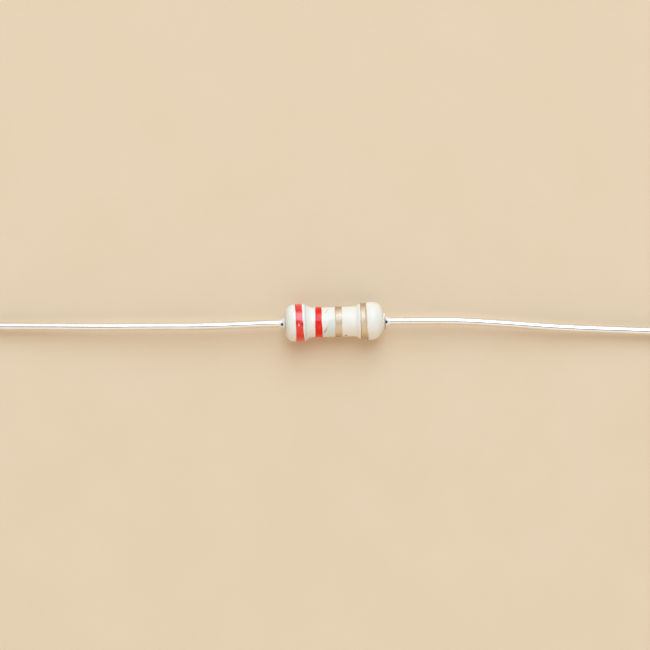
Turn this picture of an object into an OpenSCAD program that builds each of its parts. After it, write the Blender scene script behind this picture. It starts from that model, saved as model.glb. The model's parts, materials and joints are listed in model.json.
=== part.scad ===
// Axial film resistor of quarter-watt size with four colour bands, in millimetres.
// The body's axis runs along X, and the tolerance band is the one nearest the +X end.
// The part lies as it rests on a flat surface: on its two bulges and the tips of its leads.
// The origin is on that surface, straight below the middle of the body.

/* [Body] */
// Length of the lacquered body between its two end faces
body_l = 6.3; // [6.1:0.1:6.8]
// Largest diameter, over the bulges and the band on the left one
bulge_d = 2.46; // [2.4:0.02:2.6]
// Diameter of the neck between the bulges
neck_d = 1.96; // [1.92:0.02:2.1]
// Radius of the left end's round edge
left_round = 0.55; // [0.4:0.05:0.65]
// Radius of the right end's round edge, where the lacquer has sagged more
right_round = 0.7; // [0.5:0.05:0.75]
// Length of the left bulge, up to where its shoulder starts
left_bulge_l = 1.15; // [1.1:0.05:1.3]
// Length of the left shoulder, from the bulge down to the neck
left_shoulder_l = 0.6; // [0.5:0.05:0.8]
// Length of the right bulge, up to its lip beside the fourth band
right_bulge_l = 0.93; // [0.9:0.01:0.95]
// Length of that lip, which drops by the thickness of the paint
right_lip_l = 0.07; // [0.04:0.01:0.08]
// Length of the level seat at the foot of the lip
right_seat_l = 0.07; // [0.02:0.01:0.1]
// Length of the slope from the seat down to the shoulder
right_slope_l = 0.36; // [0.3:0.01:0.4]
// How far that slope drops in radius
right_slope_h = 0.07; // [0.04:0.01:0.1]
// Length of the right shoulder, from the slope down to the neck
right_shoulder_l = 0.5; // [0.4:0.05:0.7]

/* [Collars] */
// Diameter of the left collar at its end face, a fillet of lacquer that climbs the foot of the lead
left_collar_d = 0.92; // [0.9:0.02:1.1]
// Diameter of that fillet's thin rim
left_rim_d = 0.72; // [0.7:0.01:0.78]
// How far the left collar climbs along the foot
left_collar_l = 0.13; // [0.1:0.01:0.15]
// Diameter of the right collar, a flat button of lacquer round the foot of the lead
right_collar_d = 1.06; // [0.96:0.02:1.2]
// How far the right collar stands out of its end face
right_collar_l = 0.12; // [0.08:0.01:0.15]
// Radius of the right collar's outer edge
right_collar_round = 0.05; // [0.02:0.01:0.06]

/* [Colour bands] */
// Middle of the first band, the first digit
band_1_x = -2.25; // [-2.3:0.01:-2.2]
// Middle of the second band, the second digit
band_2_x = -1.02; // [-1.1:0.01:-0.9]
// Middle of the third band, the multiplier
band_3_x = 0.27; // [0.2:0.01:0.4]
// Middle of the fourth band, the tolerance
band_4_x = 1.91; // [1.88:0.01:1.92]
// Width of the first band
band_1_w = 0.49; // [0.4:0.01:0.55]
// Width of the second band
band_2_w = 0.43; // [0.4:0.01:0.55]
// Width of the third band
band_3_w = 0.46; // [0.4:0.01:0.55]
// Width of the fourth band
band_4_w = 0.46; // [0.4:0.01:0.46]
// Thickness of the paint
band_t = 0.02; // [0.02:0.01:0.03]

/* [Core and film] */
// Diameter of the ceramic rod
core_d = 1.7; // [1.6:0.02:1.7]
// Chamfer of the rod's ends
core_chamfer = 0.08; // [0.05:0.01:0.1]
// Thickness of the film, which on the real part is a few thousandths of a millimetre
film_t = 0.03; // [0.02:0.01:0.04]
// Advance of the trimming groove in one turn
groove_pitch = 2.9; // [2.2:0.1:3]
// Number of turns of the groove
groove_turns = 1; // [0.7:0.05:1]
// Width of the groove, across its run
groove_w = 0.14; // [0.1:0.01:0.2]
// Where the groove crosses the top of the rod
groove_x = -0.25; // [-0.25:0.05:0.2]

/* [End caps] */
// Length of each cap
cap_l = 1.15; // [1:0.05:1.15]
// Thickness of the caps' pressed sheet
cap_wall = 0.2; // [0.15:0.01:0.2]
// Outer radius of the drawn corner
cap_round = 0.3; // [0.25:0.01:0.35]
// Radius of the outer edge of the caps' rims
rim_round = 0.06; // [0.03:0.01:0.1]
// Thickness of the lacquer over each cap's face
face_coat_t = 0.2; // [0.15:0.01:0.25]

/* [Leads] */
// Diameter of the tinned wire
wire_d = 0.5; // [0.45:0.01:0.55]
// Length of each lead outside the body, along the wire
lead_l = 28; // [26:0.5:30]
// Diameter of the bead that the weld leaves on each cap
weld_d = 1; // [0.9:0.02:1.1]
// Height of the weld's bead
weld_h = 0.1; // [0.06:0.01:0.12]
// Radius of the bead's edge
weld_round = 0.05; // [0.02:0.01:0.06]
// Diameter of the foot that stands on the bead
foot_d = 0.8; // [0.7:0.02:0.84]
// Length of the left foot's flare, from its full diameter down to the wire
left_flare_l = 0.42; // [0.3:0.01:0.5]
// Length of the right foot's flare
right_flare_l = 0.54; // [0.4:0.01:0.6]
// How far the left lead's weld sits off the body's axis, towards +Y
left_weld_y = -0.02; // [-0.05:0.01:0.05]
// How far the right lead's weld sits off the body's axis, towards +Y
right_weld_y = -0.06; // [-0.08:0.01:0.05]
// Chamfer at each cut end
tip_chamfer = 0.04; // [0.02:0.01:0.08]
// Straight run of the left lead before its bend
left_run = 3.35; // [2:0.05:5]
// Radius of the left lead's long bend
left_bend_r = 163; // [120:1:200]
// Angle of the left lead's bend
left_bend = 3.3; // [3:0.1:3.6]
// Straight run of the right lead before its bends
right_run = 1.75; // [1:0.05:3]
// Radius of both bends of the right lead
right_bend_r = 44; // [30:1:60]
// Angle of the right lead's first bend
right_bend = 6.3; // [5:0.1:7]
// Straight run between the right lead's two bends
right_middle_run = 3.3; // [2:0.1:6]
// Angle by which the right lead bends back
right_bend_back = 2.1; // [1.2:0.1:2.4]

/* [Hidden] */
$fn = 72;

end_x = body_l / 2;                        // each end face of the lacquer
cap_x = end_x - face_coat_t;               // each cap's outer face
core_x = cap_x - cap_wall;                 // each end of the core, on the cap's floor
hole_root_x = cap_x - cap_wall / 2;        // the holes for the feet are cut from inside the caps outwards
bulge_r = bulge_d / 2;
seat_r = bulge_r - band_t;                 // under the outer bands, whose paint then ends level with bulge_r
neck_r = neck_d / 2;
slope_r = seat_r - right_slope_h;
film_r = core_d / 2 + film_t;
cap_r = film_r + cap_wall;
collar_root_x = end_x - face_coat_t / 2;   // both collars are rooted halfway down the lacquer over their caps
wire_r = wire_d / 2;
axis_z = bulge_r;                          // height of the body's axis over the surface
helix_w = groove_w / sin(atan(groove_pitch / (PI * core_d)));  // the groove's width square to the axis
helix_steps = 48;                          // facets along the groove
inner_round = core_chamfer;                // the inside corner of a cap stays clear of the core's chamfer

// Each stretch of a lead is [straight run, bend radius, bend angle]. A positive angle bends the wire to +Y of
// the plane that it is drawn in. The last run takes what is left of the length.
function bend_l(radius, angle) = radius * abs(angle) * PI / 180;
left_last_run = lead_l - left_run - bend_l(left_bend_r, left_bend);
right_last_run = lead_l - right_run - right_middle_run
               - bend_l(right_bend_r, right_bend) - bend_l(right_bend_r, right_bend_back);
left_path = [[left_run, left_bend_r, left_bend], [left_last_run, 0, 0]];
right_path = [[right_run, right_bend_r, right_bend], [right_middle_run, right_bend_r, -right_bend_back],
              [right_last_run, 0, 0]];

// Where a wire ends across its first direction: every run and bend adds its rise at the angle reached so far
function offset_at(path, i = 0, angle = 0) = i == len(path) ? 0
    : path[i][0] * sin(angle)
    + path[i][1] * sign(path[i][2]) * (cos(angle) - cos(angle + path[i][2]))
    + offset_at(path, i + 1, angle + path[i][2]);

// Each lead bends in a plane that leans so far that the lead's tip comes down to the surface
drop = axis_z - wire_r;
left_lean = asin(drop / offset_at(left_path));
right_lean = asin(drop / offset_at(right_path));

// Turns an outline drawn as [radius, place along the axis] round the body's axis
module lathe() {
    translate([0, 0, axis_z]) rotate([0, 90, 0]) rotate_extrude() children();
}

// The strip of an outline between two places on the axis, out to the bulges' radius and no further
module strip(x0, x1) {
    translate([0, x0]) square([bulge_r, x1 - x0]);
}

// A smooth shoulder from radius r0 at x0 down to r1 at x1, made of two equal arcs that meet halfway.
// It works in either direction along the axis.
module shoulder(x0, r0, x1, r1) {
    l = abs(x1 - x0);
    h = r0 - r1;
    bend_r = (l * l + h * h) / (4 * h);
    translate([0, x0]) mirror([0, x1 > x0 ? 0 : 1]) {
        square([r0 - h / 2, l / 2]);
        intersection() {
            square([r0, l / 2]);
            translate([r0 - bend_r, 0]) circle(bend_r);
        }
        difference() {
            translate([0, l / 2]) square([r0 - h / 2, l / 2]);
            translate([r1 + bend_r, l]) circle(bend_r);
        }
    }
}

// Outline of a disc along the axis from x0 up to x1, with its outer edge at x1 rounded
module disc(r, x0, x1, edge) {
    translate([0, x0]) {
        square([r, x1 - x0 - edge]);
        square([r - edge, x1 - x0]);
    }
    translate([r - edge, x1 - edge]) intersection() {
        circle(edge);
        square(edge);
    }
}

// Outline of a flare that starts at the end face and narrows from radius r0 to r1 along one hollow arc
module flare(r0, r1, l) {
    fall = r0 - r1;
    hollow_r = (l * l + fall * fall) / (2 * fall);
    translate([0, end_x]) difference() {
        square([r0, l]);
        translate([r1 + hollow_r, l]) circle(hollow_r);
    }
}

// Outline of the lacquered body without its collars
module body_outline() {
    left_top = left_bulge_l - end_x;
    left_neck = left_top + left_shoulder_l;
    right_top = end_x - right_bulge_l;
    right_seat = right_top - right_lip_l;
    right_slope = right_seat - right_seat_l;
    right_shoulder = right_slope - right_slope_l;
    right_neck = right_shoulder - right_shoulder_l;
    mirror([0, 1]) disc(seat_r, -left_top, end_x, left_round);
    shoulder(left_top, seat_r, left_neck, neck_r);
    translate([0, left_neck]) square([neck_r, right_neck - left_neck]);
    shoulder(right_shoulder, slope_r, right_neck, neck_r);
    shoulder(right_slope, seat_r, right_shoulder, slope_r);
    translate([0, right_slope]) square([seat_r, right_seat_l]);
    shoulder(right_top, bulge_r, right_seat, seat_r);
    disc(bulge_r, right_top, end_x, right_round);
}

// Outline of the left collar, drawn on the +X side: a fillet that runs out thin on the foot
module left_collar_outline() {
    translate([0, collar_root_x]) square([left_collar_d / 2, end_x - collar_root_x]);
    flare(left_collar_d / 2, left_rim_d / 2, left_collar_l);
}

// Outline of the right collar: a flat button
module right_collar_outline() {
    disc(right_collar_d / 2, collar_root_x, end_x + right_collar_l, right_collar_round);
}

// Outline of a cap as a solid cup, with its drawn corner at the face and a rounded rim
module cap_outline() {
    middle = cap_x - cap_l / 2;
    disc(cap_r, middle, cap_x, cap_round);
    translate([0, 2 * middle]) mirror([0, 1]) disc(cap_r, middle, cap_x, rim_round);
}

module cap_solid() {
    difference() {
        cap_outline();
        disc(film_r, core_x - cap_l, core_x, inner_round);
    }
}

// Outline of a lead's foot from root_x outwards: the weld's bead, the head of the wire, and its flare
module foot_outline(root_x, flare_l) {
    disc(weld_d / 2, root_x, cap_x + weld_h, weld_round);
    translate([0, root_x]) square([foot_d / 2, end_x - root_x]);
    flare(foot_d / 2, wire_r, flare_l);
}

// Outline of the core with its chamfered ends
module core_outline() {
    r = core_d / 2;
    polygon([[0, -core_x], [r - core_chamfer, -core_x], [r, core_chamfer - core_x],
             [r, core_x - core_chamfer], [r - core_chamfer, core_x], [0, core_x]]);
}

module film_outline() {
    translate([core_d / 2, core_chamfer - core_x]) square([film_t, 2 * (core_x - core_chamfer)]);
}

// The cut that trims the film: a bar, taller than the film is thick, that winds round the core as it
// advances. It starts turned so far back that its middle lies on top of the core.
module groove_cut() {
    groove_l = groove_pitch * groove_turns;
    translate([groove_x - groove_l / 2, 0, axis_z]) rotate([0, 90, 0])
        rotate([0, 0, 180 + groove_turns * 180])
            linear_extrude(height = groove_l, twist = 360 * groove_turns, slices = helix_steps, segments = 4)
                translate([core_d / 2 - film_t, -helix_w / 2]) square([3 * film_t, helix_w]);
}

// Moves by x and y in two steps, hundredths first, so that the stretches of a wire meet to the last digit
module meet(x, y) {
    whole = [floor(x * 100) / 100, floor(y * 100) / 100];
    translate([whole[0], whole[1], 0]) translate([x - whole[0], y - whole[1], 0]) children();
}

// A wire along the stretches of a path, with a chamfered tip. A negative bend is a positive one in a mirror.
module wire(path, i = 0) {
    run = path[i][0];
    bend_r = path[i][1];
    angle = abs(path[i][2]);
    flip = path[i][2] < 0 ? 1 : 0;
    rotate([0, 90, 0]) cylinder(d = wire_d, h = run);
    translate([run, 0, 0]) {
        if (i == len(path) - 1) {
            rotate([0, 90, 0]) cylinder(r1 = wire_r, r2 = wire_r - tip_chamfer, h = tip_chamfer);
        } else {
            mirror([0, flip, 0]) {
                translate([0, bend_r, 0]) rotate([0, 0, -90])
                    rotate_extrude(angle = angle) translate([bend_r, 0]) circle(d = wire_d);
                meet(bend_r * sin(angle), bend_r * (1 - cos(angle)))
                    rotate([0, 0, angle]) mirror([0, flip, 0]) wire(path, i + 1);
            }
        }
    }
}

// The two feet, which also shape the holes through the lacquer
module left_foot(root_x) {
    translate([0, left_weld_y, 0]) lathe() mirror([0, 1]) foot_outline(root_x, left_flare_l);
}

module right_foot(root_x) {
    translate([0, right_weld_y, 0]) lathe() foot_outline(root_x, right_flare_l);
}

// The wire on the +X side, from its end face outwards in a leaning plane
module leaning_wire(path, lean) {
    translate([end_x, 0, axis_z]) rotate([180 + lean, 0, 0]) wire(path);
}

module band(x, w) {
    lathe() difference() {
        intersection() {
            translate([band_t, 0]) body_outline();
            strip(x - w / 2, x + w / 2);
        }
        body_outline();
    }
}

// The body with its two collars, before anything is let into it
module lacquer() {
    lathe() body_outline();
    translate([0, left_weld_y, 0]) lathe() mirror([0, 1]) left_collar_outline();
    translate([0, right_weld_y, 0]) lathe() right_collar_outline();
}

module coating() {
    color("ivory") difference() {
        lacquer();
        lathe() core_outline();
        film();
        lathe() cap_outline();
        lathe() mirror([0, 1]) cap_outline();
        left_foot(hole_root_x);
        right_foot(hole_root_x);
    }
}

module band_1_red() {
    color("red") band(band_1_x, band_1_w);
}

module band_2_red() {
    color("red") band(band_2_x, band_2_w);
}

module band_3_gold() {
    color("tan") band(band_3_x, band_3_w);
}

module band_4_gold() {
    color("tan") band(band_4_x, band_4_w);
}

module lead_left() {
    color("gainsboro") {
        left_foot(cap_x);
        translate([0, left_weld_y, 0]) mirror([1, 0, 0]) mirror([0, 1, 0])
            leaning_wire(left_path, left_lean);
    }
}

module lead_right() {
    color("gainsboro") {
        right_foot(cap_x);
        translate([0, right_weld_y, 0]) leaning_wire(right_path, right_lean);
    }
}

module end_cap_left() {
    color("silver") lathe() mirror([0, 1]) cap_solid();
}

module end_cap_right() {
    color("silver") lathe() cap_solid();
}

module film() {
    difference() {
        lathe() film_outline();
        groove_cut();
    }
}

module resistive_film() {
    color("dimgray") film();
}

module ceramic_core() {
    color("white") lathe() core_outline();
}

coating();
band_1_red();
band_2_red();
band_3_gold();
band_4_gold();
lead_left();
lead_right();
end_cap_left();
end_cap_right();
resistive_film();
ceramic_core();
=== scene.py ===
import json
import math
import bpy
import numpy as np
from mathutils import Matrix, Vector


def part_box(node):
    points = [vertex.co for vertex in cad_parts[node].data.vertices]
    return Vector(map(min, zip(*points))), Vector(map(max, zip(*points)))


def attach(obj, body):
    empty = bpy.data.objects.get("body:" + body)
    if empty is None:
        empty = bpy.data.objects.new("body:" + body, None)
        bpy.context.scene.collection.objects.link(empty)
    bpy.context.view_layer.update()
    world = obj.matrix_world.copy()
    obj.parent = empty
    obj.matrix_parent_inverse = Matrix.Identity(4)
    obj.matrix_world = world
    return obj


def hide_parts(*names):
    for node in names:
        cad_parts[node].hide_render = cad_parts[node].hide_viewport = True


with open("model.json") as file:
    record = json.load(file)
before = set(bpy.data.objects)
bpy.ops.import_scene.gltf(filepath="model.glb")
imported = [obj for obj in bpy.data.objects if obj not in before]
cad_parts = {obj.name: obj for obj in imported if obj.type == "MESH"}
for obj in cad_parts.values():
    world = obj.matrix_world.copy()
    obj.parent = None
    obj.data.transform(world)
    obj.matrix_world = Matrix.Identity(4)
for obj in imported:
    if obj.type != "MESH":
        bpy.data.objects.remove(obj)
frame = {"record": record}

# An axial resistor: a lacquered dog-bone body with four painted rings and two tinned leads.
# Shapes are worked out in millimetres round the body's axis and put into meshes in metres.

mm = 0.001
fullTurn = 2 * math.pi
pole = 0.004        # radius of the last ring before a fan closes an end
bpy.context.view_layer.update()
coatLow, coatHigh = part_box("coating")
axisZ = (coatLow.z + coatHigh.z) / 2 / mm       # height of the body's axis above the table
print("frame: body axis %.3f mm above the table" % axisZ)


# Surfaces.

def closedSkin(name, grid, ringed, material, values=None):
    # A grid of points (rows along the piece, columns round it) becomes one closed mesh.
    # Columns always join up. Rows join up too when ringed, and otherwise a fan of triangles
    # from the middle of the first and last row closes each end.
    rows, columns = grid.shape[:2]
    index = np.arange(rows * columns).reshape(rows, columns)
    low = index if ringed else index[:-1]
    high = np.roll(index, -1, axis=0) if ringed else index[1:]
    quads = np.stack([low, np.roll(low, -1, axis=1), np.roll(high, -1, axis=1), high], axis=-1)
    quads = quads.reshape(-1, 4)
    points = grid.reshape(-1, 3)
    fans = np.zeros((0, 3), int)
    if not ringed:
        points = np.vstack([points, grid[0].mean(axis=0), grid[-1].mean(axis=0)])
        first, last = rows * columns, rows * columns + 1
        turn = np.roll(index, -1, axis=1)
        start = np.stack([turn[0], index[0], np.full(columns, first)], axis=-1)
        stop = np.stack([index[-1], turn[-1], np.full(columns, last)], axis=-1)
        fans = np.vstack([start, stop])
    # Six times the volume is the sum of every face's scalar triple product. Below zero is inside out.
    a, b, c, d = (points[quads[:, k]] for k in range(4))
    volume = np.einsum("ij,ij->", a, np.cross(b, c)) + np.einsum("ij,ij->", a, np.cross(c, d))
    a, b, c = (points[fans[:, k]] for k in range(3))
    volume += np.einsum("ij,ij->", a, np.cross(b, c))
    if volume < 0:
        quads, fans = quads[:, ::-1], fans[:, ::-1]
    mesh = bpy.data.meshes.new(name)
    mesh.from_pydata((points * mm).tolist(), [], quads.tolist() + fans.tolist())
    mesh.polygons.foreach_set("use_smooth", np.ones(len(mesh.polygons), bool))
    for key, field in (values or {}).items():
        size = 1 if field.ndim == 2 else 3
        flat = field.reshape(-1, size)
        if not ringed:
            ends = [field[row].reshape(-1, size).mean(axis=0) for row in (0, -1)]
            flat = np.vstack([flat, *ends])
        kind = "FLOAT" if size == 1 else "FLOAT_VECTOR"
        layer = mesh.attributes.new(key, kind, "POINT")
        layer.data.foreach_set("value" if size == 1 else "vector", flat.astype(np.float32).ravel())
    mesh.validate()
    mesh.update()
    piece = bpy.data.objects.new(name, mesh)
    bpy.context.scene.collection.objects.link(piece)
    mesh.materials.append(material)
    print("%s: %d points, %d faces" % (name, len(mesh.vertices), len(mesh.polygons)))
    return piece


def standIn(piece, node):
    # The piece takes the place of a CAD node, on the only body there is.
    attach(piece, "root")
    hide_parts(node)


def arc(centreX, centreR, radius, fromDeg, toDeg, count=40):
    # Points at equal angles on a circle, angle 0 towards +X and 90 away from the axis:
    # x = centre + radius * cos(angle), and the distance from the axis = centre + radius * sin(angle).
    turn = np.radians(np.linspace(fromDeg, toDeg, count))
    return np.stack([centreX + radius * np.cos(turn), centreR + radius * np.sin(turn)], axis=-1)


def shoulder(x0, r0, x1, r1, count=40):
    # Two equal arcs, level at both ends, meeting halfway: radius = (run^2 + rise^2) / (4 rise).
    run, rise = x1 - x0, abs(r1 - r0)
    bend = (run * run + rise * rise) / (4 * rise)
    x = np.linspace(0, run, count)
    near = bend - np.sqrt(np.maximum(bend * bend - x * x, 0))
    far = rise - (bend - np.sqrt(np.maximum(bend * bend - (run - x) ** 2, 0)))
    climb = np.where(x < run / 2, near, far)
    return np.stack([x0 + x, r0 + np.sign(r1 - r0) * climb], axis=-1)


def evenly(points, step):
    # The same line with points spaced evenly along it, about a step apart.
    points = np.asarray(points, float)
    gaps = np.hypot(*np.diff(points, axis=0).T)
    points = points[np.r_[True, gaps > 1e-7]]
    along = np.r_[0, np.cumsum(np.hypot(*np.diff(points, axis=0).T))]
    stops = np.linspace(0, along[-1], max(2, int(round(along[-1] / step)) + 1))
    return np.stack([np.interp(stops, along, points[:, k]) for k in range(2)], axis=-1)


def fromTop(turn):
    # The angle from straight above the axis, below zero on the -Y side.
    return turn - math.pi


def revolve(profile, columns):
    # Every point of an (x, radius) profile carried once round the body's axis. A turn starts straight
    # below the axis, rises on the -Y side, and goes over the top and down the +Y side.
    turn = np.linspace(0, fullTurn, columns, endpoint=False)
    x, r = profile[:, 0][:, None], profile[:, 1][:, None]
    return np.stack([x + 0 * turn, -r * np.sin(turn), axisZ - r * np.cos(turn)], axis=-1)


def ramp(low, high, value):
    # From 0 at low to 1 at high, level at both: 3t^2 - 2t^3. It falls when low is above high.
    t = np.clip((value - low) / (high - low), 0, 1)
    return t * t * (3 - 2 * t)


def hill(value, centre, spread):
    # A bell: e^-(distance / spread)^2.
    return np.exp(-((value - centre) / spread) ** 2)


# Material helpers.

def newMaterial(name):
    material = bpy.data.materials.new(name)
    material.use_nodes = True
    tree = material.node_tree
    tree.nodes.clear()
    output = tree.nodes.new("ShaderNodeOutputMaterial")
    shader = tree.nodes.new("ShaderNodeBsdfPrincipled")
    tree.links.new(shader.outputs["BSDF"], output.inputs["Surface"])
    return material, tree, shader


def setSockets(shader, **sockets):
    # Fixed values, by socket name with _ for a space.
    for key, value in sockets.items():
        shader.inputs[key.replace("_", " ")].default_value = value


def objectCoords(tree, scale=(1, 1, 1)):
    # Metres in the piece's own space, stretched along an axis where its scale is below 1.
    coords = tree.nodes.new("ShaderNodeTexCoord")
    mapping = tree.nodes.new("ShaderNodeMapping")
    mapping.inputs["Scale"].default_value = scale
    tree.links.new(coords.outputs["Object"], mapping.inputs["Vector"])
    return mapping.outputs["Vector"]


def attribute(tree, name, output="Fac"):
    node = tree.nodes.new("ShaderNodeAttribute")
    node.attribute_name = name
    return node.outputs[output]


def noise(tree, vector, size, detail=3, roughness=0.55):
    # size is the width of one blotch in millimetres
    node = tree.nodes.new("ShaderNodeTexNoise")
    node.inputs["Scale"].default_value = 1 / (size * mm)
    node.inputs["Detail"].default_value = detail
    node.inputs["Roughness"].default_value = roughness
    tree.links.new(vector, node.inputs["Vector"])
    return node.outputs["Fac"]


def colour(tint):
    return (tint, tint, tint, 1) if np.isscalar(tint) else (*tint, 1)


def steps(tree, value, *stops):
    # A colour ramp: every stop is (place, grey or colour)
    node = tree.nodes.new("ShaderNodeValToRGB")
    node.color_ramp.elements.remove(node.color_ramp.elements[1])
    node.color_ramp.elements[0].position = stops[0][0]
    node.color_ramp.elements[0].color = colour(stops[0][1])
    for place, tint in stops[1:]:
        node.color_ramp.elements.new(place).color = colour(tint)
    tree.links.new(value, node.inputs["Fac"])
    return node.outputs["Color"]


def blendColour(tree, amount, first, second, mode="MIX"):
    # Each of the three may be a fixed value or another node's output.
    node = tree.nodes.new("ShaderNodeMix")
    node.data_type = "RGBA"
    node.blend_type = mode
    for socket, value in ((node.inputs[0], amount), (node.inputs[6], first), (node.inputs[7], second)):
        if isinstance(value, bpy.types.NodeSocket):
            tree.links.new(value, socket)
        else:
            socket.default_value = value if socket == node.inputs[0] else colour(value)
    return node.outputs[2]


def relief(tree, heights):
    # Bumps chained one after the other: (height, depth in millimetres)
    normal = None
    for height, depth in heights:
        node = tree.nodes.new("ShaderNodeBump")
        node.inputs["Strength"].default_value = 1
        node.inputs["Distance"].default_value = depth * mm
        tree.links.new(height, node.inputs["Height"])
        if normal is not None:
            tree.links.new(normal, node.inputs["Normal"])
        normal = node.outputs["Normal"]
    return normal


def connect(tree, shader, **links):
    # Outputs of other nodes, named in the same way.
    for key, value in links.items():
        tree.links.new(value, shader.inputs[key.replace("_", " ")])


# Sizes that more than one piece uses.

lead = dict(
    wireRadius=0.25, footRadius=0.4, root=2.95, beadRadius=0.5, beadEnd=3.05, beadEdge=0.05,
    footEnd=3.15, flare=dict(left=0.42, right=0.54), weldY=dict(left=-0.02, right=-0.06),
    length=28.0, tipChamfer=0.04, columns=96, step=0.07, rootLength=0.8, rootRows=50,
    tipRows=(0.08, 0.06, 0.05, 0.04, 0.03, 0.02, 0.01, 0.0),         # distances from the cut end
    sway=dict(left=((6.0, -0.05, 3.5), (15.0, -0.045, 6.0)),         # each one is (place, depth, spread)
              right=((2.5, -0.035, 1.8), (15.5, -0.04, 3.5))),
    # fluxAndShade: the dark spot on top of each foot, flux with a painted dark reflection, and the painted
    # shadow seam.
    fluxAndShade=dict(left=dict(x=3.375, y=-0.07, long=0.07, wide=0.07, seamShade=0.0),
              right=dict(x=3.35, y=-0.03, long=0.06, wide=0.08, seamShade=0.8)),
)
cup = dict(face=2.95, rim=1.8, outer=1.08, wall=0.2, corner=0.3, inside=0.08, lip=0.06, innerLip=0.02,
           columns=160, step=0.03)
film = dict(half=2.67, outer=0.88, inner=0.85, remains=0.002, columns=128, step=0.022)


def footRadius(x, side):
    # The radius of a lead's foot at a distance x from the body's middle: the weld's bead with a round
    # edge, the foot, and a hollow arc from the foot down to the wire.
    edge = lead["beadEdge"]
    past = np.clip(x - lead["beadEnd"] + edge, 0, edge)
    bead = lead["beadRadius"] - edge + np.sqrt(np.maximum(edge ** 2 - past ** 2, 0))
    drop, span = lead["footRadius"] - lead["wireRadius"], lead["flare"][side]
    hollow = (span * span + drop * drop) / (2 * drop)
    toWire = np.clip(lead["footEnd"] + span - x, 0, span)
    flare = lead["wireRadius"] + hollow - np.sqrt(hollow ** 2 - toWire ** 2)
    return np.where(x < lead["beadEnd"], bead, flare)


# Lacquer coat.

coat = dict(
    columns=216, step=0.024, innerStep=0.065, paint=0.02, neckRadius=0.98, face=3.15,
    leftCorner=0.55, leftShoulder=(-1.98, -1.42),
    leftCollar=dict(radius=0.46, rim=0.36), rightCollar=dict(radius=0.53, edge=0.05, fillet=0.03),
    rightShoulder=(1.27, 1.70), shoulderRadius=1.145, slope=(1.96, 2.12), lip=(2.15, 2.22), rightCorner=0.7,
    groove=dict(x=-0.3, pitch=2.9, width=0.07, depth=0.012),
    crease=dict(x=-1.83, width=0.055, depth=0.018, ridge=0.012, ridgeWidth=0.06, apart=0.13, drift=0.012),
    pit=dict(x=0.725, angle=-1.16, long=0.1, wide=0.075, depth=0.025),
    # seamShade: the painted shadow at each collar's seam.
    seamShade=dict(dark=0.9, leftX=-3.16, leftR=0.445, width=0.04, rightX=(3.21, 3.235), rightR=(0.46, 0.49)),
    slump=0.045,                       # how far the right end sags on its -Y side
    level=0.012, room=0.004,           # the lobes are lowered by level, and stop room short of the bulge
)
coat["bulgeRadius"] = (coatHigh.z - coatLow.z) / 2 / mm
coat["collars"] = (coatLow.x / mm, coatHigh.x / mm)


def coatOutline(c):
    # The outside of the lacquer from collar to collar: straight lines, tangent arcs and shoulders. The
    # left collar is one hollow arc up the foot. The right one is a button, with a small fillet at the end.
    bulge, seat = c["bulgeRadius"], c["bulgeRadius"] - c["paint"]
    tipLeft, tipRight = c["collars"]
    near, button = c["leftCollar"], c["rightCollar"]
    run, rise = -c["face"] - tipLeft, near["radius"] - near["rim"]
    hollow = (run * run + rise * rise) / (2 * rise)
    swing = math.degrees(math.asin(run / hollow))
    k, e, f = c["rightCorner"], button["edge"], button["fillet"]
    pieces = [
        arc(tipLeft, near["rim"] + hollow, hollow, 270, 270 + swing, 16),
        arc(c["leftCorner"] - c["face"], seat - c["leftCorner"], c["leftCorner"], 180, 90),
        shoulder(c["leftShoulder"][0], seat, c["leftShoulder"][1], c["neckRadius"]),
        shoulder(c["rightShoulder"][0], c["neckRadius"], c["rightShoulder"][1], c["shoulderRadius"]),
        shoulder(c["slope"][0], c["shoulderRadius"], c["slope"][1], seat),
        shoulder(c["lip"][0], seat, c["lip"][1], bulge, 16),
        arc(c["face"] - k, bulge - k, k, 90, 0),
        arc(c["face"] + f, button["radius"] + f, f, 180, 270, 8),
        arc(tipRight - e, button["radius"] - e, e, 90, 0, 10),
    ]
    return evenly(np.vstack(pieces), c["step"])


outline = coatOutline(coat)
outlineAlong = np.r_[0, np.cumsum(np.hypot(*np.diff(outline, axis=0).T))]
tangent = np.gradient(outline, axis=0)
tangent /= np.hypot(tangent[:, 0], tangent[:, 1])[:, None]
outlineOut = np.stack([-tangent[:, 1], tangent[:, 0]], axis=-1)      # the side away from the lacquer


def grooveOffset(x, turn):
    # How far a place is, along the body, from the trimmed groove's own line.
    groove = coat["groove"]
    return x - (groove["x"] + groove["pitch"] * (turn / fullTurn - 0.5))


def creaseLine(turn):
    # Where the crease beside the left bulge is, which drifts along the body as it goes round.
    return coat["crease"]["x"] + coat["crease"]["drift"] * np.cos(turn - 0.4)


def pitShape(x, turn):
    # A burst bubble low on the neck's -Y side: a flat-bottomed bell in x and angle, e^-(distance^4).
    pit = coat["pit"]
    reach = np.hypot((x - pit["x"]) / pit["long"], (fromTop(turn) - pit["angle"]) / pit["wide"])
    return np.exp(-reach ** 4)


def weldShift(x, r):
    # How far the lacquer round a lead's foot moves sideways with it, which fades out on the end's flat.
    side = np.where(x < 0, lead["weldY"]["left"], lead["weldY"]["right"])
    return side * ramp(2.85, 2.95, np.abs(x)) * (1 - ramp(0.55, 0.78, r))


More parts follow.
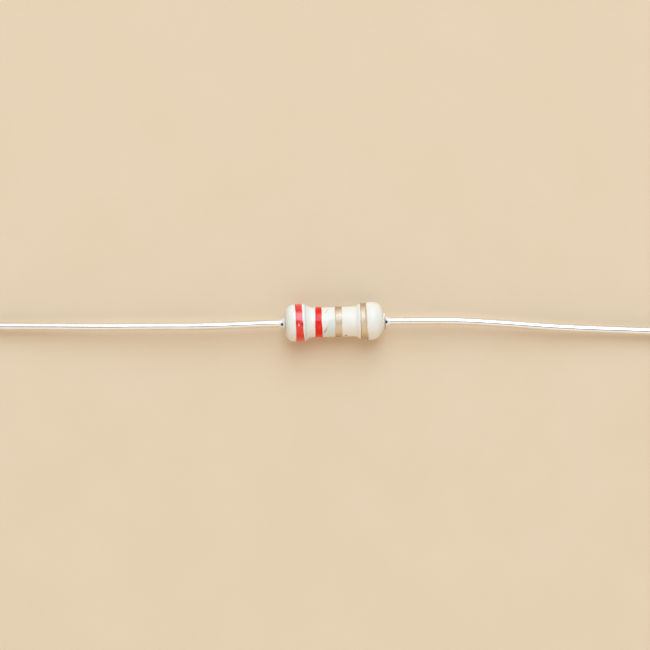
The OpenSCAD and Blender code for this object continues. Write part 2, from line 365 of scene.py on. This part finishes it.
def coatRelief(x, turn):
    # Uneven lacquer in millimetres: broad lobes round the body, the sag into the groove under it, a crease
    # with a low ridge where the left bulge ends, the pit, and the slump of the right end. It fades out
    # at both collars.
    c = coat
    neck = ramp(-1.7, -1.2, x) * (1 - ramp(1.0, 1.6, x))
    lobes = 0.007 * np.cos(2 * turn + 0.7 * x + 0.4) + 0.005 * np.cos(3 * turn - 1.9 * x + 2.0)
    lobes += 0.004 * np.cos(5 * turn + 2.6 * x) + 0.004 * np.sin(4.1 * x + 1.0 + np.cos(turn)) - c["level"]
    sag = -c["groove"]["depth"] * hill(grooveOffset(x, turn), 0, c["groove"]["width"]) * neck
    line, fold = creaseLine(turn), c["crease"]
    crease = fold["ridge"] * hill(x, line - fold["apart"], fold["ridgeWidth"])
    crease = crease - fold["depth"] * hill(x, line, fold["width"])
    pit = -c["pit"]["depth"] * pitShape(x, turn)
    slump = -c["slump"] * ramp(2.3, 3.1, x) * np.clip(np.sin(turn), 0, 1) ** 2
    fade = ramp(-3.2, -3.1, x) * (1 - ramp(3.1, 3.2, x))
    return (lobes + sag + crease + pit + slump) * fade


def onCoat(along, turn, lift):
    # A point of the outline, moved outwards by the relief and by lift, and carried round the axis.
    # No point goes past the drawn bulge or under the table, so every crest stays inside the CAD's box.
    x, r = (np.interp(along, outlineAlong, outline[:, k]) for k in range(2))
    outX, outR = (np.interp(along, outlineAlong, outlineOut[:, k]) for k in range(2))
    out = coatRelief(x, turn) + lift
    x, r = x + outX * out, np.minimum(r + outR * out, coat["bulgeRadius"] - coat["room"])
    y, z = weldShift(x, r) - r * np.sin(turn), axisZ - r * np.cos(turn)
    return np.stack([x, y, np.maximum(z, 0)], axis=-1)


def innerOutline(c):
    # The hollow that the caps, the film and the leads' feet fill, from the right end to the left.
    halves = []
    for side, tip in (("right", c["collars"][1]), ("left", -c["collars"][0])):
        x = np.r_[np.linspace(tip, lead["footEnd"], 8), np.linspace(lead["footEnd"], cup["face"], 16)]
        halves.append(np.vstack([
            np.stack([x, footRadius(x, side)], axis=-1),
            arc(cup["face"] - cup["corner"], cup["outer"] - cup["corner"], cup["corner"], 0, 90, 12),
            arc(cup["rim"] + cup["lip"], cup["outer"] - cup["lip"], cup["lip"], 90, 180, 6),
            [(cup["rim"], film["outer"])],
        ]))
    return evenly(np.vstack([halves[0], halves[1][::-1] * [-1, 1]]), c["innerStep"])


def makeCoat(c, material):
    # The outside and the hollow make one grid whose rows join up at both collars.
    turn = np.linspace(0, fullTurn, c["columns"], endpoint=False)[None, :]
    outer = onCoat(outlineAlong[:, None], turn, 0)
    hollow = innerOutline(c)
    inner = revolve(hollow, c["columns"])
    inner[..., 1] += weldShift(*hollow.T)[:, None]
    grid = np.vstack([outer, inner])
    x = grid[:, :, 0]
    turns = turn + 0 * x
    top = fromTop(turns)
    fromGroove = grooveOffset(x, turns)
    # What shows of the groove between the second and the third ring: a line that darkens down the -Y side,
    # and a short fragment high on the +Y side. Beyond the line the lacquer is thin.
    between = ramp(-0.78, -0.68, x) * (1 - ramp(-0.02, 0.06, x))
    darker = 0.15 + 0.5 * ramp(-0.2, -0.62, top)
    line = darker * hill(fromGroove, 0, 0.055) * between * ramp(0.25, 0.0, top) * ramp(-0.95, -0.7, top)
    fragment = 0.3 * hill(fromGroove, -0.57, 0.04) * between * hill(top, 0.8, 0.22)
    thin = ramp(0.0, 0.14, fromGroove) * between * (1 - ramp(0.0, 0.35, top)) * ramp(-1.7, -1.0, top)
    # Painted shade: the crease beside the left bulge is darkened.
    crease = 0.3 * hill(x, creaseLine(turns), c["crease"]["width"])
    # The collars' painted shadow seams: a dark ring round the left one, and all of the right one but its +Y
    # side, where the light falls.
    y, r = grid[:, :, 1], np.hypot(grid[:, :, 1], grid[:, :, 2] - axisZ)
    seamShade = c["seamShade"]
    seamShades = seamShade["dark"] * hill(np.hypot(x - seamShade["leftX"], r - seamShade["leftR"]), 0, seamShade["width"])
    seamShades = seamShades + seamShade["dark"] * ramp(*seamShade["rightX"], x) * ramp(*seamShade["rightR"], r) * ramp(0.35, 0.15, y)
    # The left half and the right end: more gloss, and a painted cool tint that stands in for cooler bounce
    # light.
    leftHalf = 1 - ramp(-1.8, 0.8, x)
    values = dict(
        # markAndShade: the groove's lines, with painted shade in the crease and at the collars' seams.
        markAndShade=np.clip(line + fragment + crease + seamShades, 0, 1),
        thin=thin,
        pit=pitShape(x, turns),
        coolBounceTint=leftHalf + 0.6 * ramp(2.75, 3.1, x),
        shine=leftHalf + 0.85 * ramp(2.25, 2.6, x),
    )
    return closedSkin("lacquerCoat", grid, True, material, values=values)


def lacquer(name):
    # Ivory lacquer with an orange-peel surface, glossier on the left half and at the right end, where a
    # painted cool tint stands in for cooler bounce light. Its marks and its painted shade come from the
    # coat's own fields.
    material, tree, shader = newMaterial(name)
    setSockets(shader, IOR=1.45)
    space = objectCoords(tree)
    broad = noise(tree, space, 1.6, 2)
    fine = noise(tree, space, 0.09, 4, 0.6)
    ivory = steps(tree, broad, (0.35, (0.87, 0.84, 0.76)), (0.65, (0.89, 0.845, 0.76)))
    # Painted cool bounce light: a cooler tint on the left half and at the right end.
    cool = steps(tree, attribute(tree, "coolBounceTint"), (0.0, 0.0), (1.0, 0.5))
    ivory = blendColour(tree, cool, ivory, (0.83, 0.86, 0.79))
    ivory = blendColour(tree, 0.35, ivory, steps(tree, fine, (0.3, 0.93), (0.7, 1.0)), "MULTIPLY")
    thin = steps(tree, attribute(tree, "thin"), (0.0, 0.0), (1.0, 0.6))
    ivory = blendColour(tree, thin, ivory, (0.66, 0.75, 0.70))
    # Dark where the groove shows, and painted shade in the crease and at the collars' seams.
    ivory = blendColour(tree, attribute(tree, "markAndShade"), ivory, (0.12, 0.12, 0.10))
    ivory = blendColour(tree, attribute(tree, "pit"), ivory, (0.09, 0.045, 0.02))
    satin = steps(tree, noise(tree, space, 0.5, 3), (0.3, 0.45), (0.7, 0.55))
    rough = blendColour(tree, attribute(tree, "shine"), satin, (0.25, 0.25, 0.25))
    peel = noise(tree, space, 0.22, 2)
    dust = noise(tree, space, 0.03, 2)
    connect(tree, shader, Base_Color=ivory, Roughness=rough,
            Normal=relief(tree, [(peel, 0.006), (dust, 0.0006)]))
    return material


standIn(makeCoat(coat, lacquer("ivoryLacquer")), "coating")


# Painted rings.

ring = dict(columns=360, across=44, thickness=0.02, sunk=0.004)      # sunk: how deep the underside lies


def makeRing(name, spec):
    # A thin closed band: out over the lacquer and back just under its surface. Its thickness across is
    # the eighth-power curve (1 - t^8)^(1/2), which is flat with rounded edges, and its edges wander.
    # A blister is a bell on it: (x, angle from the top, height, width, how pale it is). The pale spot is a
    # painted highlight.
    low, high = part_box(spec["node"])
    turn = np.linspace(0, fullTurn, ring["columns"], endpoint=False)[None, :]
    t = np.linspace(-1, 1, ring["across"])[:, None]
    edgeLeft = low.x / mm + spec["left"](turn)
    edgeRight = high.x / mm + spec["right"](turn)
    where = (edgeLeft + edgeRight) / 2 + t * (edgeRight - edgeLeft) / 2
    along = np.interp(where, outline[:, 0], outlineAlong)
    height = (ring["thickness"] + ring["sunk"]) * np.sqrt(1 - t ** 8) - ring["sunk"]
    bubbleAndHighlight = 0 * where
    for x, angle, tall, wide, pale in spec["blisters"]:
        bell = hill(np.hypot(where - x, (fromTop(turn) - angle) * coat["neckRadius"]), 0, wide)
        height = height + tall * bell * (1 - t ** 4)
        bubbleAndHighlight = np.maximum(bubbleAndHighlight, pale * bell)
    outer = onCoat(along, turn, height)
    inner = onCoat(along[::-4], turn, -ring["sunk"])[1:-1]
    grid = np.vstack([outer, inner])
    edge = np.vstack([(t + 1) / 2 + 0 * turn, np.ones((len(inner), 1)) + 0 * turn])
    # side: how far round towards the body's sides, where the gold gets its painted dark reflection.
    side = np.abs(np.sin(turn)) + 0 * edge
    bubbleAndHighlight = np.vstack([bubbleAndHighlight, 0 * edge[len(bubbleAndHighlight):]])
    values = dict(edge=edge, side=side, bubbleAndHighlight=bubbleAndHighlight)
    standIn(closedSkin(name, grid, True, spec["paint"], values=values), spec["node"])


def wander(slant, bow, ripple, phase, shift=lambda top: 0):
    # The edge leans by slant from one side of the body to the other, bows by bow over the top, and ripples.
    # shift gives what else moves it at an angle from the top.
    def edge(turn):
        waves = np.cos(5 * turn + phase) + 0.6 * np.cos(9 * turn + 2 * phase)
        waves += 0.4 * np.cos(17 * turn - phase)
        return -slant * np.sin(turn) + bow * np.cos(2 * turn) + ripple * waves + shift(fromTop(turn))
    return edge


def redPaint(name, gloss, roughness):
    # Clouded red paint, thin at its edges and pale on its bubbles, a painted highlight. gloss is the weight
    # of the clear coat.
    material, tree, shader = newMaterial(name)
    setSockets(shader, IOR=1.42, Coat_Weight=gloss, Coat_Roughness=0.17, Coat_IOR=1.58)
    space = objectCoords(tree)
    cloud = noise(tree, space, 0.35, 3)
    speck = noise(tree, space, 0.045, 3, 0.65)
    red = steps(tree, cloud, (0.3, (0.80, 0.006, 0.003)), (0.55, (0.85, 0.012, 0.007)),
                (0.75, (0.88, 0.03, 0.02)))
    red = blendColour(tree, 0.5, red, steps(tree, speck, (0.35, 0.86), (0.65, 1.0)), "MULTIPLY")
    thin = steps(tree, attribute(tree, "edge"), (0.0, 0.3), (0.05, 0.0), (0.95, 0.0), (1.0, 0.3))
    red = blendColour(tree, thin, red, (0.82, 0.22, 0.17))
    bubbleAndHighlight = attribute(tree, "bubbleAndHighlight")
    # Painted highlight: pale pink on the bubbles.
    red = blendColour(tree, steps(tree, bubbleAndHighlight, (0.4, 0.0), (0.85, 0.85)), red, (1.0, 0.55, 0.5))
    rough = steps(tree, noise(tree, space, 0.3, 3), (0.3, roughness - 0.05), (0.7, roughness + 0.05))
    connect(tree, shader, Base_Color=red, Roughness=rough,
            Normal=relief(tree, [(noise(tree, space, 0.14, 2), 0.006), (speck, 0.0015), (bubbleAndHighlight, 0.03)]))
    return material


def goldPaint(name, leftEdgeShade):
    # Tan paint with fine flakes, browner at both sides of the body as a painted dark reflection.
    # leftEdgeShade is how dark the painted shade along its left edge is.
    material, tree, shader = newMaterial(name)
    setSockets(shader, IOR=1.6, Metallic=0.1, Coat_Weight=1.0, Coat_Roughness=0.4, Coat_IOR=1.85)
    space = objectCoords(tree)
    flake = tree.nodes.new("ShaderNodeTexVoronoi")
    flake.inputs["Scale"].default_value = 1 / (0.02 * mm)
    tree.links.new(space, flake.inputs["Vector"])
    cloud = noise(tree, space, 0.3, 3)
    gold = steps(tree, cloud, (0.3, (0.65, 0.475, 0.28)), (0.55, (0.72, 0.54, 0.325)),
                 (0.75, (0.77, 0.60, 0.385)))
    glint = steps(tree, flake.outputs["Color"], (0.2, 0.78), (0.8, 1.0))
    gold = blendColour(tree, 0.55, gold, glint, "MULTIPLY")
    # Painted reflection: browner towards both sides of the body.
    side = steps(tree, attribute(tree, "side"), (0.68, 0.0), (0.97, 0.95))
    gold = blendColour(tree, side, gold, (0.40, 0.16, 0.03))
    # Painted shade along the left edge.
    shaded = steps(tree, attribute(tree, "edge"), (0.0, leftEdgeShade), (0.07, leftEdgeShade * 0.8), (0.12, 0.0))
    gold = blendColour(tree, shaded, gold, (0.25, 0.16, 0.08))
    rough = steps(tree, flake.outputs["Color"], (0.2, 0.3), (0.8, 0.45))
    connect(tree, shader, Base_Color=gold, Roughness=rough,
            Normal=relief(tree, [(noise(tree, space, 0.1, 3), 0.014), (flake.outputs["Distance"], 0.001)]))
    return material


rings = dict(
    redRingOne=dict(
        node="band_1_red", slot="red_paint", paint=redPaint("wetRed", 0.8, 0.22),
        left=wander(-0.015, 0.02, 0.005, 0.3),
        right=wander(-0.03, 0.01, 0.006, 2.0, lambda top: -0.045 * ramp(-0.1, 0.15, top)
                     + 0.015 * ramp(0.3, 0.7, top) + 0.06 * ramp(-0.3, -1.4, top)),
        blisters=[(-2.28, -0.13, 0.012, 0.085, 1.0), (-2.16, 0.0, 0.01, 0.035, 0.6),
                  (-2.2, 0.8, 0.014, 0.06, 0.3), (-2.09, 1.0, 0.014, 0.04, 0.5)],
    ),
    redRingTwo=dict(
        node="band_2_red", slot="red_paint", paint=redPaint("driedRed", 0.0, 0.25),
        left=wander(0.02, 0.0, 0.005, 1.1),
        right=wander(-0.02, -0.005, 0.009, 0.2, lambda top: 0.02 - 0.03 * hill(top, 0.28, 0.2)),
        blisters=[(-1.1, -0.3, 0.008, 0.07, 0.2)],
    ),
    goldRingThree=dict(
        node="band_3_gold", slot="gold_paint", paint=goldPaint("goldPaint", 0.1),
        left=wander(0.0, 0.01, 0.008, 2.5),
        right=wander(0.01, 0.0, 0.008, 0.9),
        blisters=[(0.36, 0.33, 0.012, 0.05, 0.0), (0.25, 0.28, 0.008, 0.035, 0.0)],
    ),
    goldRingFour=dict(
        node="band_4_gold", slot="gold_paint", paint=goldPaint("edgedGold", 0.95),
        left=wander(0.0, 0.01, 0.006, 0.0),
        right=wander(-0.06, 0.0, 0.012, 1.7, lambda top: -0.025),
        blisters=[(1.8, 0.28, 0.012, 0.05, 0.0), (1.93, 0.24, 0.008, 0.04, 0.0)],
    ),
)
for ringName, ringSpec in rings.items():
    makeRing(ringName, ringSpec)


# Leads.

leadRuns = dict(             # each bend is (straight run before it, radius, degrees or None for the rest)
    left=dict(mount="lead_left_end", side=-1, bends=[(3.35, 163.0, None)]),
    right=dict(mount="lead_right_end", side=1, bends=[(1.75, 44.0, 6.3), (3.3, 44.0, None)]),
)


def stretch(heading, t, curve):
    # How far a run gets from its start in a length t, straight on or round an arc. curve is the angle
    # that it turns by in each millimetre, below zero for a bend back.
    if curve == 0:
        return t[:, None] * [math.cos(heading), math.sin(heading)]
    angle = heading + t * curve
    return np.stack([np.sin(angle) - math.sin(heading), math.cos(heading) - np.cos(angle)], axis=-1) / curve


def leadLine(run, stops, shift):
    # The centre line as two distances, along the body's axis and away from it in the plane that the
    # lead bends in: straight runs and arcs, each starting where and as the last one ends. The last arc
    # turns by what is left of the whole angle between the wire's two ends.
    mount = next(m for m in frame["record"]["mounts"] if m["name"] == run["mount"])
    aim = np.array(mount["axis"])
    whole = math.degrees(math.acos(abs(aim[0])))
    lean = np.array([0, aim[1], aim[2]]) / np.hypot(aim[1], aim[2])
    outward = np.array([run["side"], 0, 0])
    place = np.array([lead["root"], 0.0])
    heading, done = 0.0, 0.0
    out = np.zeros((len(stops), 2))
    way = np.zeros(len(stops))
    parts = []
    extra = lead["footEnd"] - lead["root"]
    for straight, radius, bend in run["bends"]:
        bend = math.radians(whole if bend is None else bend)
        whole -= math.degrees(bend)
        parts += [(straight + extra, 0), (radius * abs(bend), math.copysign(1 / radius, bend))]
        extra = 0
    parts.append((1e3, 0))                       # straight on, past the cut end
    for long, curve in parts:
        inside = (stops >= done) & (stops <= done + long)
        t = stops[inside] - done
        out[inside] = place + stretch(heading, t, curve)
        way[inside] = heading + t * curve
        place = place + stretch(heading, np.array([long]), curve)[0]
        heading += long * curve
        done += long
    centre = out[:, :1] * outward + out[:, 1:] * lean
    forward = np.cos(way)[:, None] * outward + np.sin(way)[:, None] * lean
    return centre + [0, shift, axisZ], forward, np.cross(outward, lean)


def makeLead(name, node, side, material):
    # Circles carried along the centre line, which sways a little sideways. The radius is the foot's, then
    # the wire's with faint drawing marks, and a chamfer at the cut end.
    total = lead["length"] + lead["footEnd"] - lead["root"]
    root = np.linspace(0, lead["rootLength"], lead["rootRows"])
    start, stop = lead["rootLength"], total - 0.1
    body = np.linspace(start, stop, round((stop - start) / lead["step"]))[1:]
    tip = total - np.array(lead["tipRows"])
    stops = np.r_[root, body, tip]
    centre, forward, level = leadLine(leadRuns[side], stops, lead["weldY"][side])
    up = np.cross(forward, level)
    radius = footRadius(lead["root"] + stops, side)
    fromTip = total - stops
    radius = radius - np.clip(lead["tipChamfer"] - fromTip, 0, None) * 0.9
    turn = np.linspace(0, fullTurn, lead["columns"], endpoint=False)[None, :]
    s = stops[:, None]
    marks = 0.0016 * np.cos(2 * turn + 0.9 * s) + 0.0012 * np.cos(3 * turn - 0.37 * s + 1.0)
    marks = marks + 0.0010 * np.sin(2.3 * s + 2 * np.sin(0.31 * s)) * np.cos(turn + 0.5 * s)
    marks = marks * ramp(0.5, 1.2, s) * ramp(0.0, 0.3, fromTip)[:, None]
    r = radius[:, None] + marks
    wave = 0.006 * np.sin(0.9 * stops)
    for place, depth, spread in lead["sway"][side]:
        wave += depth * hill(stops, place, spread)
    centre[:, 1] += wave * ramp(0.6, 2.0, stops) * (1 - ramp(total - 4, total - 1, stops))
    sideways, upwards = (r * np.cos(turn))[..., None], (r * np.sin(turn))[..., None]
    grid = centre[:, None, :] + sideways * level + upwards * up[:, None, :]
    grid[..., 2] = np.maximum(grid[..., 2], 0)
    straightened = np.stack([s + 0 * turn, r * np.cos(turn), r * np.sin(turn)], axis=-1)
    weld = (1 - ramp(0.45, 0.75, s)) + 0 * turn
    # Flux and painted light: a dark spot on top of the foot, flux with a painted dark reflection, and on
    # the right foot a painted shadow seam at the collar, except on its +Y side.
    spot = lead["fluxAndShade"][side]
    x, y = np.abs(grid[..., 0]), grid[..., 1] - lead["weldY"][side]
    above = grid[..., 2] > axisZ
    fluxAndShade = 2.3 * hill(x, spot["x"], spot["long"]) * hill(y, spot["y"], spot["wide"]) * above
    seamShade = spot["seamShade"] * ramp(3.325, 3.275, x) * ramp(0.28, 0.12, y)
    fluxAndShade = np.clip(np.maximum(fluxAndShade, seamShade), 0, 1)
    values = dict(straightened=straightened * mm, weld=weld, fluxAndShade=fluxAndShade)
    piece = closedSkin(name, grid, False, material, values=values)
    standIn(piece, node)


def tinnedWire(name):
    # Bright tin with streaks along the wire, duller and whiter on the welded foot. The pattern lies on the
    # wire as it was before it was bent.
    material, tree, shader = newMaterial(name)
    setSockets(shader, IOR=1.5)
    space = attribute(tree, "straightened", "Vector")
    drawn = tree.nodes.new("ShaderNodeMapping")
    drawn.inputs["Scale"].default_value = (0.05, 1, 1)
    tree.links.new(space, drawn.inputs["Vector"])
    streak = noise(tree, drawn.outputs["Vector"], 0.05, 3, 0.6)
    cloud = noise(tree, space, 0.8, 4)
    tin = steps(tree, cloud, (0.3, (0.82, 0.82, 0.82)), (0.7, (0.88, 0.88, 0.87)))
    tin = blendColour(tree, 0.5, tin, steps(tree, streak, (0.3, 0.86), (0.6, 1.0)), "MULTIPLY")
    weld = attribute(tree, "weld")
    tin = blendColour(tree, weld, tin, (0.93, 0.92, 0.89))
    # Flux with a painted dark reflection, and a painted shadow seam on the right foot.
    tin = blendColour(tree, attribute(tree, "fluxAndShade"), tin, (0.04, 0.028, 0.018))
    rough = blendColour(tree, weld, steps(tree, cloud, (0.3, 0.08), (0.7, 0.16)), (0.3, 0.3, 0.3))
    metal = steps(tree, weld, (0.0, 0.85), (1.0, 0.35))
    connect(tree, shader, Base_Color=tin, Roughness=rough, Metallic=metal,
            Normal=relief(tree, [(streak, 0.0006), (noise(tree, space, 0.25, 3), 0.003)]))
    return material


brightTin = tinnedWire("tinnedWire")
makeLead("leadWireLeft", "lead_left", "left", brightTin)
makeLead("leadWireRight", "lead_right", "right", brightTin)


# What the lacquer hides.

def makeCup(name, node, side, material):
    # A drawn steel cup with a rounded rim. Its profile runs from the middle of the outside, round the
    # rim, to the middle of the inside.
    c = cup
    inner = c["outer"] - c["wall"]
    profile = np.vstack([
        [(c["face"], pole)],
        arc(c["face"] - c["corner"], c["outer"] - c["corner"], c["corner"], 0, 90, 24),
        arc(c["rim"] + c["lip"], c["outer"] - c["lip"], c["lip"], 90, 180, 12),
        arc(c["rim"] + c["innerLip"], inner + c["innerLip"], c["innerLip"], 180, 270, 8),
        arc(c["face"] - c["wall"] - c["inside"], inner - c["inside"], c["inside"], 90, 0, 16),
        [(c["face"] - c["wall"], pole)],
    ])
    profile = evenly(profile, c["step"]) * [side, 1]
    piece = closedSkin(name, revolve(profile, c["columns"]), False, material)
    standIn(piece, node)


def capSteel(name):
    # Plain steel with drawing lines along the axis.
    material, tree, shader = newMaterial(name)
    setSockets(shader, Metallic=1.0, IOR=1.5)
    space = objectCoords(tree)
    lines = noise(tree, objectCoords(tree, (0.06, 1, 1)), 0.04, 3, 0.6)
    cloud = noise(tree, space, 0.5, 4)
    steel = steps(tree, cloud, (0.3, (0.55, 0.54, 0.51)), (0.7, (0.66, 0.65, 0.62)))
    steel = blendColour(tree, 0.5, steel, steps(tree, lines, (0.3, 0.8), (0.65, 1.0)), "MULTIPLY")
    rough = steps(tree, lines, (0.3, 0.28), (0.7, 0.42))
    connect(tree, shader, Base_Color=steel, Roughness=rough,
            Normal=relief(tree, [(lines, 0.002), (cloud, 0.004)]))
    return material


drawnSteel = capSteel("capSteel")
makeCup("steelCupLeft", "end_cap_left", -1, drawnSteel)
makeCup("steelCupRight", "end_cap_right", 1, drawnSteel)


def makeFilm(name, node, material):
    # A thin tube whose outside dips along the trimmed groove, a helix, to what remains over the rod.
    f = film
    outside = np.linspace(-f["half"], f["half"], int(2 * f["half"] / f["step"]))
    turn = np.linspace(0, fullTurn, f["columns"], endpoint=False)[None, :]
    cut = ramp(0.035, 0.075, np.abs(grooveOffset(outside[:, None], turn)))
    outerR = f["inner"] + f["remains"] + (f["outer"] - f["inner"] - f["remains"]) * cut
    inside = np.linspace(f["half"], -f["half"], 12)
    innerR = f["inner"] + 0 * inside[:, None] + 0 * turn
    x = np.vstack([outside[:, None] + 0 * turn, inside[:, None] + 0 * turn])
    r = np.vstack([outerR, innerR])
    bare = np.vstack([1 - cut, np.zeros_like(innerR)])
    grid = np.stack([x, -r * np.sin(turn), axisZ - r * np.cos(turn)], axis=-1)
    piece = closedSkin(name, grid, True, material, values=dict(bare=bare))
    standIn(piece, node)


def filmCoat(name):
    # Dark grey film, pale where the groove bares the rod.
    material, tree, shader = newMaterial(name)
    setSockets(shader, IOR=1.6)
    space = objectCoords(tree)
    cloud = noise(tree, space, 0.4, 4)
    grey = steps(tree, cloud, (0.3, (0.13, 0.14, 0.145)), (0.7, (0.19, 0.20, 0.20)))
    grey = blendColour(tree, attribute(tree, "bare"), grey, (0.70, 0.68, 0.63))
    grain = noise(tree, space, 0.03, 3, 0.6)
    rough = steps(tree, grain, (0.3, 0.38), (0.7, 0.55))
    connect(tree, shader, Base_Color=grey, Roughness=rough, Normal=relief(tree, [(grain, 0.002)]))
    return material


makeFilm("trimmedFilm", "resistive_film", filmCoat("resistiveFilm"))

rod = dict(half=2.75, radius=0.85, chamfer=0.08, columns=128, step=0.04)


def makeRod(name, node, material):
    # A plain round rod with a chamfer at each end.
    half = np.array([(rod["half"], pole), (rod["half"], rod["radius"] - rod["chamfer"]),
                     (rod["half"] - rod["chamfer"], rod["radius"])])
    profile = evenly(np.vstack([half, half[::-1] * [-1, 1]]), rod["step"])
    standIn(closedSkin(name, revolve(profile, rod["columns"]), False, material), node)


def alumina(name):
    # Matt white ceramic with a fine grain.
    material, tree, shader = newMaterial(name)
    setSockets(shader, IOR=1.76)
    space = objectCoords(tree)
    grain = noise(tree, space, 0.02, 4, 0.65)
    white = steps(tree, noise(tree, space, 0.7, 3), (0.3, (0.84, 0.83, 0.79)), (0.7, (0.90, 0.89, 0.86)))
    white = blendColour(tree, 0.4, white, steps(tree, grain, (0.3, 0.85), (0.6, 1.0)), "MULTIPLY")
    rough = steps(tree, grain, (0.3, 0.6), (0.7, 0.8))
    connect(tree, shader, Base_Color=white, Roughness=rough, Normal=relief(tree, [(grain, 0.003)]))
    return material


makeRod("aluminaRod", "ceramic_core", alumina("alumina"))


# Table, light and camera.

studio = dict(
    flat=0.95, sweep=0.15, rings=(0.002, 0.02, 0.06, 0.15, 0.4),       # metres: the round table
    tone=((0.775, 0.605, 0.41), (0.795, 0.625, 0.43)),
    lamps=dict(
        window=dict(place=(0.08, 0.66, 0.75), size=(1.4, 1.25), power=3.3, tint=(1.0, 0.95, 0.88)),
        sky=dict(place=(0.1, 0.64, 0.77), size=(0.5, 1.1), power=5.6, tint=(0.5, 0.76, 1.0)),
    ),
    tent=dict(slot=(-0.3, -0.1), blur=0.08, dark=0.2, tableSide=(1.0, 0.58, 0.3), wall=(1.12, 0.82, 0.57),
              warm=(1.12, 1.02, 0.9), cool=(0.52, 0.5, 0.5), farSide=(1.05, 0.76, 0.5)),
)


def makeTable(s):
    # A round table top whose rim sweeps up all round, so every side has the same pale backdrop.
    bend = np.radians(np.linspace(0, 90, 24))
    flat = [(radius, 0) for radius in s["rings"]]
    rise = np.stack([s["flat"] + s["sweep"] * np.sin(bend), s["sweep"] * (1 - np.cos(bend))], axis=-1)
    profile = np.vstack([flat, rise])
    turn = np.linspace(0, fullTurn, 96, endpoint=False)[None, :]
    r, z = profile[:, :1], profile[:, 1:]
    grid = np.stack([r * np.cos(turn), r * np.sin(turn), z + 0 * turn], axis=-1)
    rows, columns = grid.shape[:2]
    index = np.arange(rows * columns).reshape(rows, columns)
    low, high = index[:-1], index[1:]
    quads = np.stack([low, np.roll(low, -1, 1), np.roll(high, -1, 1), high], axis=-1)
    faces = quads.reshape(-1, 4)[:, ::-1].tolist() + [index[0].tolist()]
    mesh = bpy.data.meshes.new("studioTable")
    mesh.from_pydata(grid.reshape(-1, 3).tolist(), [], faces)
    mesh.polygons.foreach_set("use_smooth", np.ones(len(mesh.polygons), bool))
    mesh.update()
    table = bpy.data.objects.new("studioTable", mesh)
    bpy.context.scene.collection.objects.link(table)
    material, tree, shader = newMaterial("paleTable")
    space = objectCoords(tree)
    tone = steps(tree, noise(tree, space, 6.0, 3), (0.3, s["tone"][0]), (0.7, s["tone"][1]))
    setSockets(shader, Roughness=0.6)
    connect(tree, shader, Base_Color=tone)
    mesh.materials.append(material)


def softBox(name, spec):
    # An oval lamp, in metres from the body, that faces it.
    light = bpy.data.lights.new(name, "AREA")
    light.shape = "ELLIPSE"
    light.size, light.size_y = spec["size"]
    light.energy = spec["power"]
    light.color = spec["tint"]
    lamp = bpy.data.objects.new(name, light)
    lamp.location = spec["place"]
    lamp.rotation_euler = lamp.location.to_track_quat("Z", "Y").to_euler()
    lamp.visible_camera = False
    bpy.context.scene.collection.objects.link(lamp)


def makeTent(t):
    # A dim tent that changes from the -Y side to the +Y side: the warm light off the table, a warm wall, a
    # dark slot along X a little to the -Y side of overhead, which draws the thin grey line on a round
    # wire, a cooler roof, and a warm far edge.
    world = bpy.data.worlds.new("studioTent")
    world.use_nodes = True
    tree = world.node_tree
    coords = tree.nodes.new("ShaderNodeTexCoord")
    parts = tree.nodes.new("ShaderNodeSeparateXYZ")
    tree.links.new(coords.outputs["Generated"], parts.inputs["Vector"])
    across = tree.nodes.new("ShaderNodeMapRange")
    across.inputs["From Min"].default_value = -1
    tree.links.new(parts.outputs["Y"], across.inputs["Value"])
    near, far = (0.5 + edge / 2 for edge in t["slot"])
    blur = t["blur"] / 2
    tone = steps(tree, across.outputs["Result"],
                 (0.0, t["tableSide"]), (0.05, t["wall"]), (0.2, t["warm"]), (near - blur, t["warm"]),
                 (near, t["dark"]), (far, t["dark"]),
                 (far + blur, t["cool"]), (0.9, t["cool"]), (1.0, t["farSide"]))
    tree.links.new(tone, tree.nodes["Background"].inputs["Color"])
    bpy.context.scene.world = world


makeTable(studio)
for lampName, lampSpec in studio["lamps"].items():
    softBox(lampName, lampSpec)
makeTent(studio["tent"])
print("studio: table, %d lamps and a tent" % len(studio["lamps"]))

# Straight above the body, a little turned. across is the width of the view at the body's axis.
lens = dict(distance=0.25, across=0.0419, sensor=36.0, aim=(-0.00061, -0.00019), roll=-1.46)
cameraData = bpy.data.cameras.new("topCamera")
cameraData.sensor_width = lens["sensor"]
cameraData.lens = lens["sensor"] * lens["distance"] / lens["across"]
cameraData.clip_start = 0.01
cameraData.clip_end = 10
camera = bpy.data.objects.new("topCamera", cameraData)
camera.location = (*lens["aim"], axisZ * mm + lens["distance"])
camera.rotation_euler = (0, 0, math.radians(lens["roll"]))
bpy.context.scene.collection.objects.link(camera)
bpy.context.scene.camera = camera
bpy.context.scene.view_settings.view_transform = "Standard"

bpy.context.view_layer.update()
